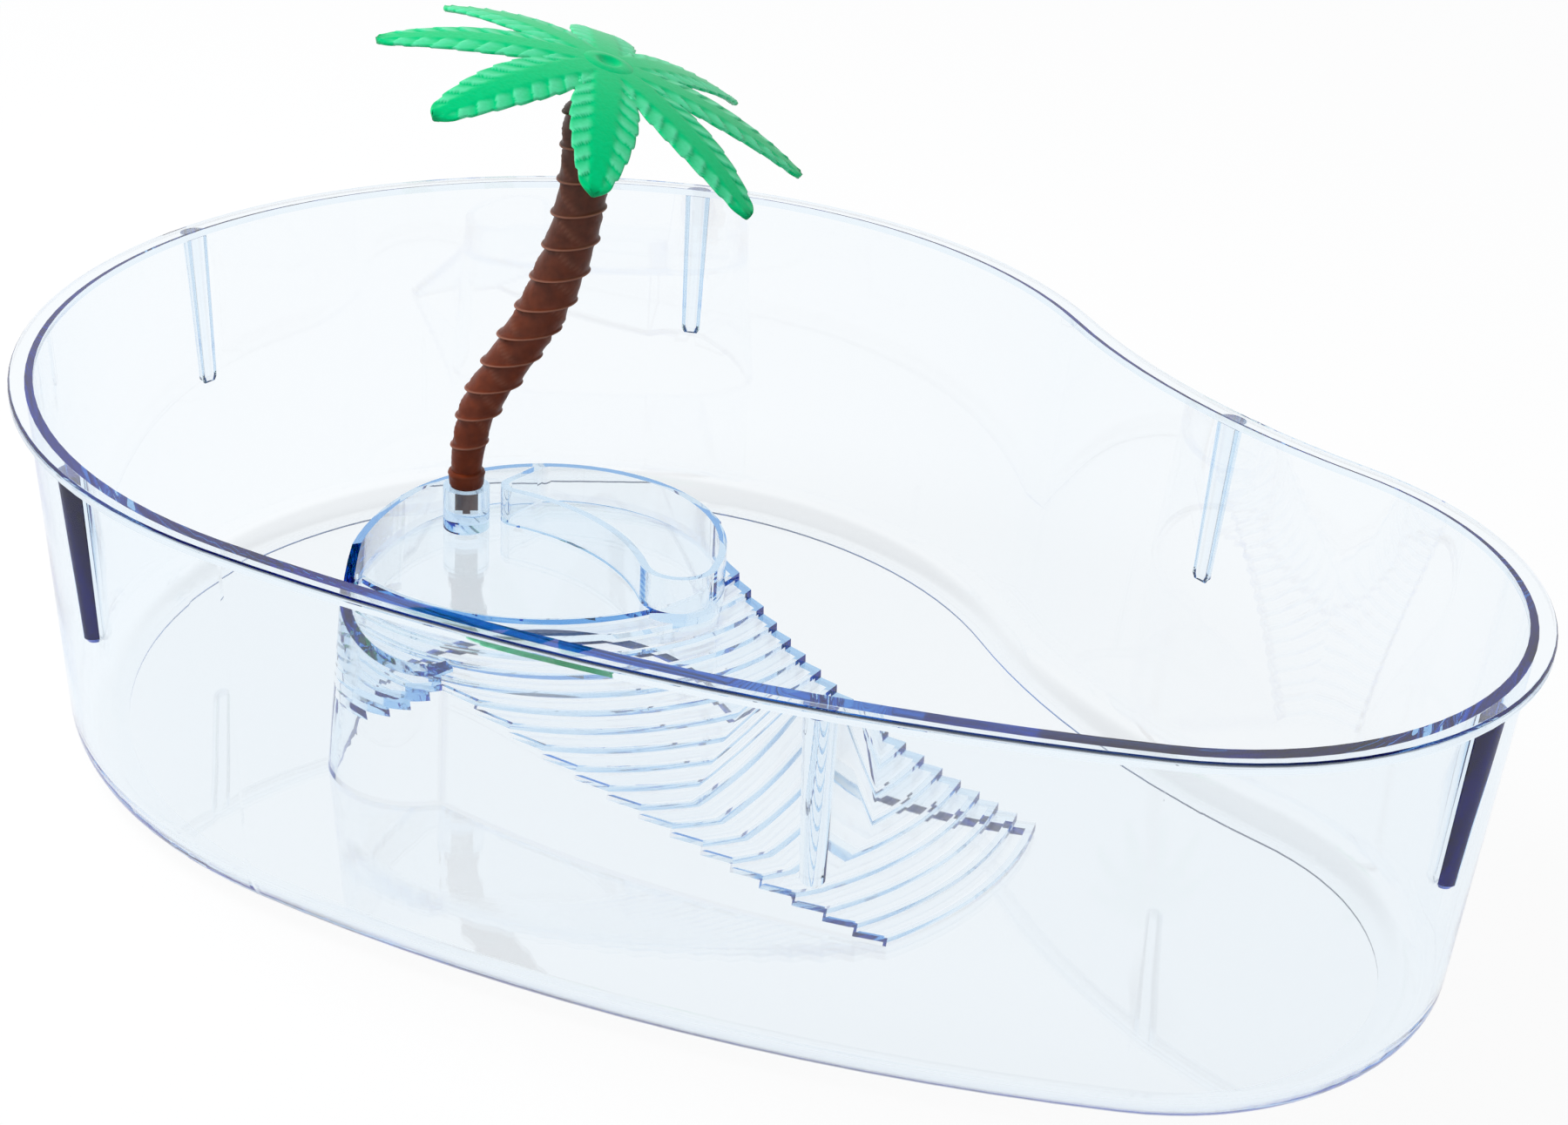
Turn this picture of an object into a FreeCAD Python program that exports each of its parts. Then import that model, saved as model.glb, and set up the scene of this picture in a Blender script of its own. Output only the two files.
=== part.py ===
import FreeCAD, Part
import math
import os

import Sketcher

# Turtle tank: a clear kidney-shaped tank moulded in one piece with its island, and a palm
# tree of two mouldings that plugs into a socket on the island. Sizes are millimetres. The
# origin is on the table below the middle of the tank, +X runs along the tank towards its
# small lobe, +Y towards the waist and +Z up.

SIZES = [
    # Kidney outline: four arcs, each tangent to the next, at the inner edge of the rim
    ("big_lobe", 136.0),
    ("small_lobe", 78.0),
    ("lobe_spacing", 174.0),
    ("waist_radius", 216.0),
    ("front_radius", 498.0),
    # Tank section
    ("tank_height", 98.0),
    ("wall", 2.2),
    ("floor_thick", 2.5),
    ("wall_draft", 3.8),
    ("corner_radius", 11.5),
    ("flange_reach", 6.0),
    ("flange_thick", 2.4),
    ("flange_round", 0.9),
    ("foot_width", 2.2),
    ("foot_recess", 0.5),
    # Stiffening ribs under the flange
    ("rib_width", 7.4),
    ("rib_foot_width", 5.5),
    ("rib_length", 41.5),
    ("rib_tip", 1.2),
    # Island outline at the top of the parapet
    ("tower_x", -49.9),
    ("tower_y", -20.5),
    ("tower_back", 45.3),
    ("tower_left", 83.6),
    ("tower_left_y", -12.8),
    ("tower_front", 18.0),
    ("tower_front_y", -57.6),
    ("ramp_left", 291.5),
    ("ramp_left_x", -43.0),
    ("ramp_left_y", 227.0),
    ("ramp_right", 104.0),
    ("ramp_right_y", 109.5),
    ("ramp_end_x", 96.0),
    ("island_draft", 4.4),
    ("island_wall", 2.1),
    # Steps of the ramp, counted from the tank floor
    ("step_count", 19),
    ("step_rise", 2.3),
    ("landing_disc", 60.0),
    ("landing_disc_x", -74.0),
    ("landing_disc_y", 3.3),
    ("foot_disc", 93.7),
    ("foot_disc_x", -11.0),
    ("foot_disc_y", -13.0),
    # Parapet and feeding pocket on the landing
    ("parapet_height", 10.0),
    ("parapet_wall", 2.1),
    ("parapet_run", 38.0),
    ("parapet_run_heading", -26.0),
    ("parapet_fall", 18.3),
    ("gate_low_x", -43.0),
    ("gate_low_y", -64.0),
    ("gate_high_x", -24.5),
    ("gate_high_y", 18.0),
    ("pocket_front", 60.0),
    ("pocket_front_x", -57.8),
    ("pocket_front_y", -62.7),
    ("pocket_left_x", -80.0),
    ("pocket_corner", 3.0),
    ("pocket_nose", 8.0),
    # Socket that holds the palm
    ("socket_x", -84.2),
    ("socket_y", -15.6),
    ("socket_radius", 6.1),
    ("socket_height", 11.7),
    ("plug_radius", 3.1),
    ("plug_length", 6.5),
    ("plug_rib", 1.6),
    ("plug_clearance", 0.15),
    # Palm trunk: its axis is three straight runs joined by two arcs
    ("trunk_heading", 44.05),
    ("trunk_lean", 30.6),
    ("collar_radius", 4.7),
    ("collar_height", 4.5),
    ("trunk_foot", 3.9),
    ("trunk_start", 4.0),
    ("lower_bend", 48.0),
    ("lean_run", 18.0),
    ("upper_bend", 94.0),
    ("first_lip", 12.0),
    ("segment_pitch", 8.8),
    ("trunk_radius", 6.9),
    ("trunk_fullest", 6.5),
    ("trunk_thinning", 0.052),
    ("segment_count", 12),
    ("segment_flare", 1.0),
    ("segment_tilt", 5.0),
    ("trunk_neck", 4.2),
    ("trunk_cap", 3.0),
    # Palm crown
    ("crown_heading", 31.07),
    ("crown_tilt", 17.2),
    ("seat_shift_x", 2.2),
    ("seat_shift_y", 1.8),
    ("pin_radius", 2.6),
    ("pin_length", 6.0),
    ("pin_clearance", 0.1),
    ("crown_boss", 5.4),
    ("crown_boss_height", 8.0),
    ("frond_count", 8),
    ("frond_turn", 11.66),
    ("frond_length", 55.3),
    ("frond_width", 17.0),
    ("frond_root", 7.0),
    ("frond_teeth", 7),
    ("frond_notch", 0.8),
    ("frond_arch", 133.0),
    ("frond_thick", 1.3),
    ("midrib_width", 2.4),
    ("midrib_height", 0.7),
    ("hub_radius", 8.0),
    ("hub_dish", 3.4),
    ("hub_dish_depth", 0.6),
]

# Where each rib stands on the outline: the arc it is on and its bearing from that arc's centre
RIBS = [
    ("back_left", "big", -176.0),
    ("back", "big", 117.6),
    ("left_front", "big", -105.2),
    ("right_back", "waist", -104.8),
    ("front", "front", -66.8),
    ("right_front", "small", -4.4),
]

UP = FreeCAD.Vector(0, 0, 1)

doc = FreeCAD.newDocument("TurtleTank")
sheet = doc.addObject("Spreadsheet::Sheet", "Sizes")
for row, (alias, value) in enumerate(SIZES, start=1):
    sheet.set(f"A{row}", alias)
    sheet.set(f"B{row}", str(value))
    sheet.setAlias(f"B{row}", alias)
doc.recompute()


def size(alias):
    """Value of a named size."""
    return float(sheet.get(alias))


def amount(expression):
    """Number that an expression of the sheet's cells gives now."""
    return float(sheet.evalExpression(expression))


def bind(item, **expressions):
    """Bind properties of an object to the sheet. A double underscore stands for a dot."""
    for name, expression in expressions.items():
        item.setExpression(name.replace("__", "."), expression)
    return item


def point(x, y, z=0.0):
    return FreeCAD.Vector(x, y, z)


def bearing(centre, target):
    """Angle in radians of the line from one point to another."""
    return math.atan2(target.y - centre.y, target.x - centre.x)


def polar(centre, radius, angle):
    """Point at a radius and an angle in radians from a centre."""
    return centre + point(radius * math.cos(angle), radius * math.sin(angle))


def crossing(first, first_radius, second, second_radius, side):
    """Where two circles cross, on the left (+1) or right (-1) of the line between centres."""
    apart = (second - first).Length
    along = (first_radius ** 2 - second_radius ** 2 + apart ** 2) / (2 * apart)
    across = math.sqrt(first_radius ** 2 - along ** 2)
    forward = (second - first) / apart
    return first + forward * along + point(-forward.y, forward.x) * (side * across)


def arc(centre, radius, start, end):
    """Anticlockwise arc between two angles in radians."""
    return Part.ArcOfCircle(Part.Circle(centre, UP, radius), start, end)


# Sketches

def new_sketch(body, name, level):
    """Empty sketch parallel to the ground at a height bound to the sheet."""
    sketch = body.newObject("Sketcher::SketchObject", name)
    plane = [item for item in body.Origin.OriginFeatures if item.Role == "XY_Plane"][0]
    sketch.AttachmentSupport = [(plane, "")]
    sketch.MapMode = "FlatFace"
    sketch.setExpression("AttachmentOffset.Base.z", level)
    return sketch


def hold(sketch, kind, *where, to):
    """Add a dimension to a sketch and bind it to an expression."""
    name = f"size{sketch.ConstraintCount}"
    index = sketch.addConstraint(Sketcher.Constraint(kind, *where, amount(to)))
    sketch.renameConstraint(index, name)
    sketch.setExpression("Constraints." + name, to)


def join(sketch, kind, *pairs):
    """Join the ends of neighbouring curves, touching or tangent."""
    for first, first_end, second, second_end in pairs:
        sketch.addConstraint(
            Sketcher.Constraint(kind, first, first_end, second, second_end))


def kidney_centres():
    """Centres of the four arcs, with the middle of the outline at the origin."""
    shift = (size("lobe_spacing") + size("small_lobe") - size("big_lobe")) / 2
    big = point(-shift, 0)
    small = point(size("lobe_spacing") - shift, 0)
    waist = crossing(big, size("big_lobe") + size("waist_radius"),
                     small, size("small_lobe") + size("waist_radius"), 1)
    front = crossing(big, size("front_radius") - size("big_lobe"),
                     small, size("front_radius") - size("small_lobe"), 1)
    return {"big": big, "small": small, "waist": waist, "front": front}


def kidney_loop(sketch, grow):
    """Closed kidney outline, grown outwards from the inner edge of the rim."""
    centres = kidney_centres()
    big, small, waist, front = (centres[key] for key in ("big", "small", "waist", "front"))
    radius = {name: f"Sizes.{name} + ({grow})" for name in
              ("big_lobe", "front_radius", "small_lobe")}
    radius["waist_radius"] = f"Sizes.waist_radius - ({grow})"
    curves = sketch.addGeometry([
        arc(big, amount(radius["big_lobe"]), bearing(big, waist),
            bearing(front, big) + 2 * math.pi),
        arc(front, amount(radius["front_radius"]), bearing(front, big), bearing(front, small)),
        arc(small, amount(radius["small_lobe"]), bearing(front, small), bearing(small, waist)),
        arc(waist, amount(radius["waist_radius"]), bearing(waist, big), bearing(waist, small)),
    ], False)
    big_arc, front_arc, small_arc, waist_arc = curves
    join(sketch, "Tangent", (big_arc, 2, front_arc, 1), (front_arc, 2, small_arc, 1),
         (small_arc, 2, waist_arc, 2), (waist_arc, 1, big_arc, 1))
    for index, name in zip(curves, ("big_lobe", "front_radius", "small_lobe", "waist_radius")):
        hold(sketch, "Radius", index, to=radius[name])
    for index in (big_arc, small_arc):
        sketch.addConstraint(Sketcher.Constraint("PointOnObject", index, 3, -1))
    hold(sketch, "DistanceX", big_arc, 3, -1, 1,
         to="(Sizes.lobe_spacing + Sizes.small_lobe - Sizes.big_lobe) / 2")
    hold(sketch, "DistanceX", -1, 1, small_arc, 3,
         to="(Sizes.lobe_spacing - Sizes.small_lobe + Sizes.big_lobe) / 2")


def kidney_sketch(body, name, level, *grows):
    """Sketch of one kidney outline, or of two with the ring between them."""
    sketch = new_sketch(body, name, level)
    for grow in grows:
        kidney_loop(sketch, grow)
    return sketch


def edge_names(shape, wanted):
    """Names of the edges that a test picks."""
    return [f"Edge{number}" for number, edge in enumerate(shape.Edges, start=1) if wanted(edge)]


def flat_at(level):
    """Test for an edge that lies flat at a height."""
    def test(edge):
        box = edge.BoundBox
        return abs(box.ZMin - level) < 0.01 and abs(box.ZMax - level) < 0.01
    return test


def soften(body, feature, wanted, radius):
    """Fillet the edges of a feature that a test picks, with a radius bound to the sheet."""
    doc.recompute()
    fillet = body.newObject("PartDesign::Fillet", feature.Name + "Round")
    fillet.Base = (feature, edge_names(feature.Shape, wanted))
    fillet.setExpression("Radius", radius)
    return fillet


# Tank shell

def drafted_pad(body, name, grow, floor):
    """Kidney pad hung from the rim down to a floor, with the mould's draft and a round foot."""
    pad = body.newObject("PartDesign::Pad", name)
    pad.Profile = kidney_sketch(body, name + "Outline", "Sizes.tank_height", grow)
    bind(pad, Length=f"Sizes.tank_height - ({floor})", TaperAngle="-Sizes.wall_draft")
    pad.Reversed = True
    return pad


def make_block():
    """Outside of the tank as a solid: drafted wall, rim flange and ribs."""
    body = doc.addObject("PartDesign::Body", "Block")
    wall = drafted_pad(body, "WallOutside", "Sizes.wall", "0")
    soften(body, wall, flat_at(0), "Sizes.corner_radius")
    flange = body.newObject("PartDesign::Pad", "Flange")
    flange.Profile = kidney_sketch(body, "FlangeOutline", "Sizes.tank_height",
                                   "Sizes.flange_reach")
    bind(flange, Length="Sizes.flange_thick")
    flange.Reversed = True
    soften(body, flange, flat_at(size("tank_height")), "Sizes.flange_round")
    for name, lobe, degrees in RIBS:
        add_rib(body, name, lobe, math.radians(degrees))
    return body


def add_rib(body, name, lobe, angle):
    """Tapered round bar that follows the outside of the wall, half sunk in it."""
    centre = kidney_centres()[lobe]
    outward = -1 if lobe == "waist" else 1
    reach = {"big": "big_lobe", "small": "small_lobe", "waist": "waist_radius",
             "front": "front_radius"}[lobe]
    drop = size("flange_thick") + size("rib_length")
    slope = math.tan(math.radians(size("wall_draft")))
    line = size(reach) + outward * (size("wall") - slope * drop)
    foot = polar(centre, line, angle) + point(0, 0, size("tank_height") - drop)
    lean = polar(point(0, 0), outward * math.sin(math.radians(size("wall_draft"))), angle)
    axis = lean + UP * math.cos(math.radians(size("wall_draft")))
    turn = FreeCAD.Rotation(UP, axis)
    bar = body.newObject("PartDesign::AdditiveCone", "Rib_" + name)
    bind(bar, Radius1="Sizes.rib_foot_width / 2", Radius2="Sizes.rib_width / 2",
         Height="Sizes.rib_length")
    bar.Placement = FreeCAD.Placement(foot, turn)
    tip = body.newObject("PartDesign::AdditiveCone", "RibTip_" + name)
    bind(tip, Radius1="Sizes.rib_foot_width / 2 - Sizes.rib_tip * 0.7",
         Radius2="Sizes.rib_foot_width / 2", Height="Sizes.rib_tip")
    tip.Placement = FreeCAD.Placement(foot - axis * size("rib_tip"), turn)


def make_cavity():
    """Inside of the tank as a solid."""
    body = doc.addObject("PartDesign::Body", "Cavity")
    pad = drafted_pad(body, "WallInside", "0", "Sizes.floor_thick")
    soften(body, pad, flat_at(size("floor_thick")), "Sizes.corner_radius - Sizes.wall")
    return body


def make_foot_recess():
    """Shallow plate under the floor that leaves the tank on a narrow foot ring."""
    body = doc.addObject("PartDesign::Body", "FootRecess")
    plate = body.newObject("PartDesign::Pad", "RecessPlate")
    inset = ("Sizes.wall - tan(Sizes.wall_draft * 1 deg) * Sizes.tank_height"
             " - Sizes.corner_radius - Sizes.foot_width")
    plate.Profile = kidney_sketch(body, "RecessOutline", "0", inset)
    bind(plate, Length="Sizes.foot_recess")
    return body


# Island outline and steps

def island_sketch(body, name, level, inset):
    """Closed outline of tower and ramp at the top of the parapet, shrunk by an inset."""
    sketch = new_sketch(body, name, level)
    shrink = amount(inset)
    back = point(size("tower_x"), size("tower_y"))
    back_radius = size("tower_back") - shrink
    left_y = size("tower_left_y")
    apart = size("tower_left") - size("tower_back")
    left = point(back.x + math.sqrt(apart ** 2 - (left_y - back.y) ** 2), left_y)
    left_radius = size("tower_left") - shrink
    front_y = size("tower_front_y")
    apart = size("tower_left") - size("tower_front")
    front = point(left.x - math.sqrt(apart ** 2 - (front_y - left.y) ** 2), front_y)
    front_radius = size("tower_front") - shrink
    edge = point(size("ramp_left_x"), size("ramp_left_y"))
    edge_radius = size("ramp_left") - shrink
    right_y = size("ramp_right_y")
    apart = size("tower_back") + size("ramp_right")
    right = point(back.x + math.sqrt(apart ** 2 - (right_y - back.y) ** 2), right_y)
    right_radius = size("ramp_right") + shrink
    notch = crossing(front, front_radius, edge, edge_radius, -1)
    end_x = size("ramp_end_x")
    low = point(end_x, edge.y - math.sqrt(edge_radius ** 2 - (end_x - edge.x) ** 2))
    high = point(end_x, right.y - math.sqrt(right_radius ** 2 - (end_x - right.x) ** 2))
    turn = 2 * math.pi
    back_arc, left_arc, front_arc, edge_arc, end_line, right_arc = sketch.addGeometry([
        arc(back, back_radius, bearing(back, right), bearing(left, back)),
        arc(left, left_radius, bearing(left, back), bearing(left, front) + turn),
        arc(front, front_radius, bearing(left, front), bearing(front, notch)),
        arc(edge, edge_radius, bearing(edge, notch), bearing(edge, low)),
        Part.LineSegment(low, high),
        arc(right, right_radius, bearing(right, back), bearing(right, high)),
    ], False)
    join(sketch, "Tangent", (back_arc, 2, left_arc, 1), (left_arc, 2, front_arc, 1),
         (back_arc, 1, right_arc, 1))
    join(sketch, "Coincident", (front_arc, 2, edge_arc, 1), (edge_arc, 2, end_line, 1),
         (end_line, 2, right_arc, 2))
    sketch.addConstraint(Sketcher.Constraint("Vertical", end_line))
    for index, alias, sign in ((back_arc, "tower_back", "-"), (left_arc, "tower_left", "-"),
                               (front_arc, "tower_front", "-"), (edge_arc, "ramp_left", "-"),
                               (right_arc, "ramp_right", "+")):
        hold(sketch, "Radius", index, to=f"Sizes.{alias} {sign} ({inset})")
    hold(sketch, "DistanceX", -1, 1, back_arc, 3, to="Sizes.tower_x")
    hold(sketch, "DistanceY", -1, 1, back_arc, 3, to="Sizes.tower_y")
    hold(sketch, "DistanceY", -1, 1, left_arc, 3, to="Sizes.tower_left_y")
    hold(sketch, "DistanceY", -1, 1, front_arc, 3, to="Sizes.tower_front_y")
    hold(sketch, "DistanceX", -1, 1, edge_arc, 3, to="Sizes.ramp_left_x")
    hold(sketch, "DistanceY", -1, 1, edge_arc, 3, to="Sizes.ramp_left_y")
    hold(sketch, "DistanceY", -1, 1, right_arc, 3, to="Sizes.ramp_right_y")
    hold(sketch, "DistanceX", -1, 1, end_line, 1, to="Sizes.ramp_end_x")
    return sketch


LANDING = "(Sizes.floor_thick + Sizes.step_count * Sizes.step_rise)"
PARAPET_TOP = f"({LANDING} + Sizes.parapet_height)"


def riser_sketch(body, name, number, level, inset):
    """Disc of one step with a wide plate around it, where the island stops at that step."""
    sketch = new_sketch(body, name, level)
    share = f"(1 - {number} / (Sizes.step_count - 1))"
    radius = f"Sizes.landing_disc + (Sizes.foot_disc - Sizes.landing_disc) * {share} - ({inset})"
    middle_x = f"Sizes.landing_disc_x + (Sizes.foot_disc_x - Sizes.landing_disc_x) * {share}"
    middle_y = f"Sizes.landing_disc_y + (Sizes.foot_disc_y - Sizes.landing_disc_y) * {share}"
    middle = point(amount(middle_x), amount(middle_y))
    plate = 4 * amount(radius)
    disc, rim = sketch.addGeometry([Part.Circle(middle, UP, amount(radius)),
                                    Part.Circle(middle, UP, plate)], False)
    hold(sketch, "Radius", disc, to=radius)
    hold(sketch, "Radius", rim, to=f"4 * ({radius})")
    join(sketch, "Coincident", (rim, 3, disc, 3))
    hold(sketch, "DistanceX", -1, 1, disc, 3, to=middle_x)
    hold(sketch, "DistanceY", -1, 1, disc, 3, to=middle_y)
    return sketch


def make_steps(name, inset):
    """The island's outline as a drafted block, stepped down from the landing to the floor."""
    body = doc.addObject("PartDesign::Body", name)
    pad = body.newObject("PartDesign::Pad", name + "Block")
    pad.Profile = island_sketch(body, name + "Outline", PARAPET_TOP, inset)
    bind(pad, Length=PARAPET_TOP, TaperAngle="Sizes.island_draft")
    pad.Reversed = True
    top = body.newObject("PartDesign::Pocket", name + "Landing")
    plate = new_sketch(body, name + "LandingPlate", f"{LANDING} - ({inset})")
    plate.addGeometry([Part.Circle(point(0, 0), UP, 3 * size("tank_height"))], False)
    join(plate, "Coincident", (0, 3, -1, 1))
    hold(plate, "Radius", 0, to="3 * Sizes.tank_height")
    top.Profile = plate
    top.Reversed = True
    bind(top, Length="Sizes.tank_height")
    for number in range(int(size("step_count"))):
        level = f"Sizes.floor_thick + {number} * Sizes.step_rise - ({inset})" if number else "0"
        riser = body.newObject("PartDesign::Pocket", f"{name}Riser{number}")
        riser.Profile = riser_sketch(body, f"{name}Disc{number}", number, level, inset)
        riser.Reversed = True
        bind(riser, Length="Sizes.tank_height")
    return body


def cylinder(name, radius, height, x, y, z="0"):
    """Upright cylinder bound to the sheet."""
    item = doc.addObject("Part::Cylinder", name)
    return bind(item, Radius=radius, Height=height, Placement__Base__x=x,
                Placement__Base__y=y, Placement__Base__z=z)


def fuse(name, items):
    item = doc.addObject("Part::MultiFuse", name)
    item.Shapes = items
    return item


def cut(name, base, tool):
    item = doc.addObject("Part::Cut", name)
    item.Base = base
    item.Tool = tool
    return item


def common(name, items):
    item = doc.addObject("Part::MultiCommon", name)
    item.Shapes = items
    return item


def rounded(name, base, picks):
    """Fillet upright edges of an object. Each pick is a test with its radius."""
    doc.recompute()
    fillet = doc.addObject("Part::Fillet", name)
    fillet.Base = base
    fillet.Edges = [(number, radius, radius) for wanted, radius in picks
                    for number, edge in enumerate(base.Shape.Edges, start=1) if wanted(edge)]
    return fillet


def upright(edge):
    """An edge that climbs rather than lying flat."""
    box = edge.BoundBox
    return box.ZLength > 0.5 and box.XLength < box.ZLength and box.YLength < box.ZLength


# Parapet, feeding pocket and socket

def make_parapet():
    """Wall around the back and left of the landing, open where the steps arrive."""
    body = doc.addObject("PartDesign::Body", "Parapet")
    ring = body.newObject("PartDesign::Pad", "ParapetBlock")
    ring.Profile = island_sketch(body, "ParapetOutside", PARAPET_TOP, "0")
    bind(ring, Length=PARAPET_TOP, TaperAngle="Sizes.island_draft")
    ring.Reversed = True
    inside = body.newObject("PartDesign::Pocket", "ParapetRoom")
    inside.Profile = island_sketch(body, "ParapetInside", PARAPET_TOP, "Sizes.parapet_wall")
    bind(inside, Length=PARAPET_TOP)
    gate = body.newObject("PartDesign::SubtractiveBox", "StepSide")
    bind(gate, Length="3 * Sizes.lobe_spacing", Width="Sizes.lobe_spacing",
         Height="Sizes.tank_height")
    low = point(size("gate_low_x"), size("gate_low_y"))
    high = point(size("gate_high_x"), size("gate_high_y"))
    along = FreeCAD.Rotation(UP, math.degrees(bearing(low, high)))
    start = along.multVec(point(-size("lobe_spacing"), -size("lobe_spacing")))
    gate.Placement = FreeCAD.Placement(low + start, along)
    slope = body.newObject("PartDesign::SubtractiveBox", "ParapetSlope")
    bind(slope, Length="2 * Sizes.parapet_run", Width="Sizes.tower_front * 3",
         Height="Sizes.parapet_height * 3")
    drop = math.degrees(math.atan2(size("parapet_fall"), size("parapet_run")))
    tilt = FreeCAD.Rotation(UP, size("parapet_run_heading"))
    tilt = tilt.multiply(FreeCAD.Rotation(point(0, 1), drop))
    foot = point(low.x, low.y, amount(f"{PARAPET_TOP} - Sizes.parapet_fall"))
    foot = foot + tilt.multVec(point(-1.5 * size("parapet_run"), -2 * size("tower_front")))
    slope.Placement = FreeCAD.Placement(foot, tilt)
    return body


def pocket_solid(name, grow, bottom, height):
    """Room between the tower's back wall and the pocket's bowed front wall."""
    back = cylinder(name + "Back", f"Sizes.tower_back - Sizes.parapet_wall + ({grow}) * 0.9",
                    height, "Sizes.tower_x", "Sizes.tower_y", bottom)
    front = cylinder(name + "Front", f"Sizes.pocket_front - ({grow})", height,
                     "Sizes.pocket_front_x", "Sizes.pocket_front_y", bottom)
    side = doc.addObject("Part::Box", name + "Side")
    bind(side, Length="Sizes.lobe_spacing", Width="Sizes.lobe_spacing", Height=height,
         Placement__Base__x=f"Sizes.pocket_left_x - ({grow})",
         Placement__Base__y="Sizes.tower_y - Sizes.lobe_spacing / 2",
         Placement__Base__z=bottom)
    lens = cut(name + "Lens", common(name + "Room", [back, side]), front)
    extra = amount(grow)

    def at_nose(edge):
        return upright(edge) and edge.BoundBox.XMin > size("tower_x")

    def at_left(edge):
        return upright(edge) and edge.BoundBox.XMax < size("pocket_left_x") + 1

    return rounded(name, lens, [(at_nose, size("pocket_nose") + extra),
                                (at_left, size("pocket_corner") + extra)])


# Tank

def make_tank():
    shell = cut("Shell", make_block(), make_cavity())
    steps = make_steps("Steps", "0")
    parapet = make_parapet()
    pocket_wall = pocket_solid("PocketWall", "Sizes.parapet_wall",
                               f"{LANDING} - 4.3 * Sizes.step_rise",
                               "Sizes.parapet_height + 4.3 * Sizes.step_rise")
    socket = cylinder("Socket", "Sizes.socket_radius", "Sizes.socket_height + Sizes.island_wall / 2",
                      "Sizes.socket_x", "Sizes.socket_y", f"{LANDING} - Sizes.island_wall / 2")
    bore = cylinder("SocketBore", "Sizes.plug_radius + Sizes.plug_clearance",
                    "Sizes.plug_length + Sizes.plug_clearance", "Sizes.socket_x", "Sizes.socket_y",
                    f"{LANDING} + Sizes.socket_height - Sizes.plug_length - Sizes.plug_clearance")
    solid = fuse("Moulding", [shell, steps, parapet, pocket_wall, socket])
    room = pocket_solid("Pocket", "0", LANDING, "Sizes.parapet_height * 2")
    underside = fuse("Underside", [make_steps("Hollow", "Sizes.island_wall"),
                                   make_foot_recess()])
    above = fuse("Rooms", [room, bore])
    tank = cut("Tank", cut("Topped", solid, above), underside)
    tank.Label = "tank"
    return tank


# Palm trunk

def trunk_side():
    """Direction in plan in which the trunk leans."""
    return polar(point(0, 0), 1, math.radians(size("trunk_heading")))


def trunk_place(distance):
    """Placement on the trunk's axis, at a distance along it from the socket's rim."""
    lean = math.radians(size("trunk_lean"))
    out, rise, angle = 0.0, amount(f"{LANDING} + Sizes.socket_height"), 0.0
    for kind, length in (("run", size("trunk_start")), ("left", size("lower_bend") * lean),
                         ("run", size("lean_run")), ("right", size("upper_bend") * lean),
                         ("run", math.inf)):
        step = min(length, distance)
        if kind == "run":
            out += step * math.sin(angle)
            rise += step * math.cos(angle)
        else:
            sign = 1 if kind == "left" else -1
            bend = size("lower_bend") if kind == "left" else size("upper_bend")
            turned = angle + sign * step / bend
            out += sign * bend * (math.cos(angle) - math.cos(turned))
            rise += sign * bend * (math.sin(turned) - math.sin(angle))
            angle = turned
        distance -= step
        if distance <= 0:
            break
    base = point(size("socket_x"), size("socket_y"), rise) + trunk_side() * out
    heading = FreeCAD.Rotation(UP, size("trunk_heading"))
    return FreeCAD.Placement(base, heading.multiply(
        FreeCAD.Rotation(point(0, 1), math.degrees(angle))))


def lip_radius(number):
    """Radius of a segment's flared lower lip: the trunk is fullest at its middle."""
    return (f"Sizes.trunk_radius - Sizes.trunk_thinning * "
            f"({number} - Sizes.trunk_fullest) ^ 2")


def frustum(name, low, high, height, placement):
    """Cone frustum bound to the sheet, standing on a placement."""
    item = doc.addObject("Part::Cone", name)
    bind(item, Radius1=low, Radius2=high, Height=height)
    item.Placement = placement
    return item


def make_trunk():
    """Collar and cross-ribbed plug, then flared segments stacked up the leaning axis."""
    rim = trunk_place(0)
    pieces = [frustum("Collar", "Sizes.collar_radius - 0.5", "Sizes.collar_radius",
                      "Sizes.collar_height", rim)]
    for number, turn in enumerate((0, 90)):
        rib = doc.addObject("Part::Box", f"PlugRib{number}")
        bind(rib, Length="2 * Sizes.plug_radius * cos(20 deg)", Width="Sizes.plug_rib",
             Height="Sizes.plug_length")
        twist = FreeCAD.Rotation(UP, size("trunk_heading") + turn)
        corner = point(-size("plug_radius") * math.cos(math.radians(20)), -size("plug_rib") / 2,
                       -size("plug_length"))
        rib.Placement = FreeCAD.Placement(rim.Base + twist.multVec(corner), twist)
        pieces.append(rib)
    pieces.append(frustum("TrunkFoot", "Sizes.trunk_foot", lip_radius(0) + " - Sizes.segment_flare",
                          "Sizes.first_lip + 0.5", trunk_place(0)))
    for number in range(int(size("segment_count"))):
        place = trunk_place(size("first_lip") + number * size("segment_pitch"))
        wobble = FreeCAD.Rotation(point(1, 0), size("segment_tilt") * (-1) ** number)
        place.Rotation = place.Rotation.multiply(wobble)
        last = number == int(size("segment_count")) - 1
        height = "Sizes.trunk_neck - Sizes.crown_boss * sin(Sizes.crown_tilt * 1 deg)"
        pieces.append(frustum(f"Segment{number}", lip_radius(number),
                              lip_radius(number + 1) + " - Sizes.segment_flare",
                              height if last else "Sizes.segment_pitch + Sizes.segment_flare",
                              place))
    pieces.append(frustum("TrunkTop", "Sizes.crown_boss - 0.6", "Sizes.crown_boss - 0.6",
                          "Sizes.trunk_cap", crown_seat(-size("trunk_cap"))))
    pieces.append(frustum("Pin", "Sizes.pin_radius", "Sizes.pin_radius",
                          "Sizes.pin_length + Sizes.trunk_cap", crown_seat(-size("trunk_cap"))))
    trunk = fuse("Trunk", pieces)
    trunk.Label = "palm_trunk"
    return trunk


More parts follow.
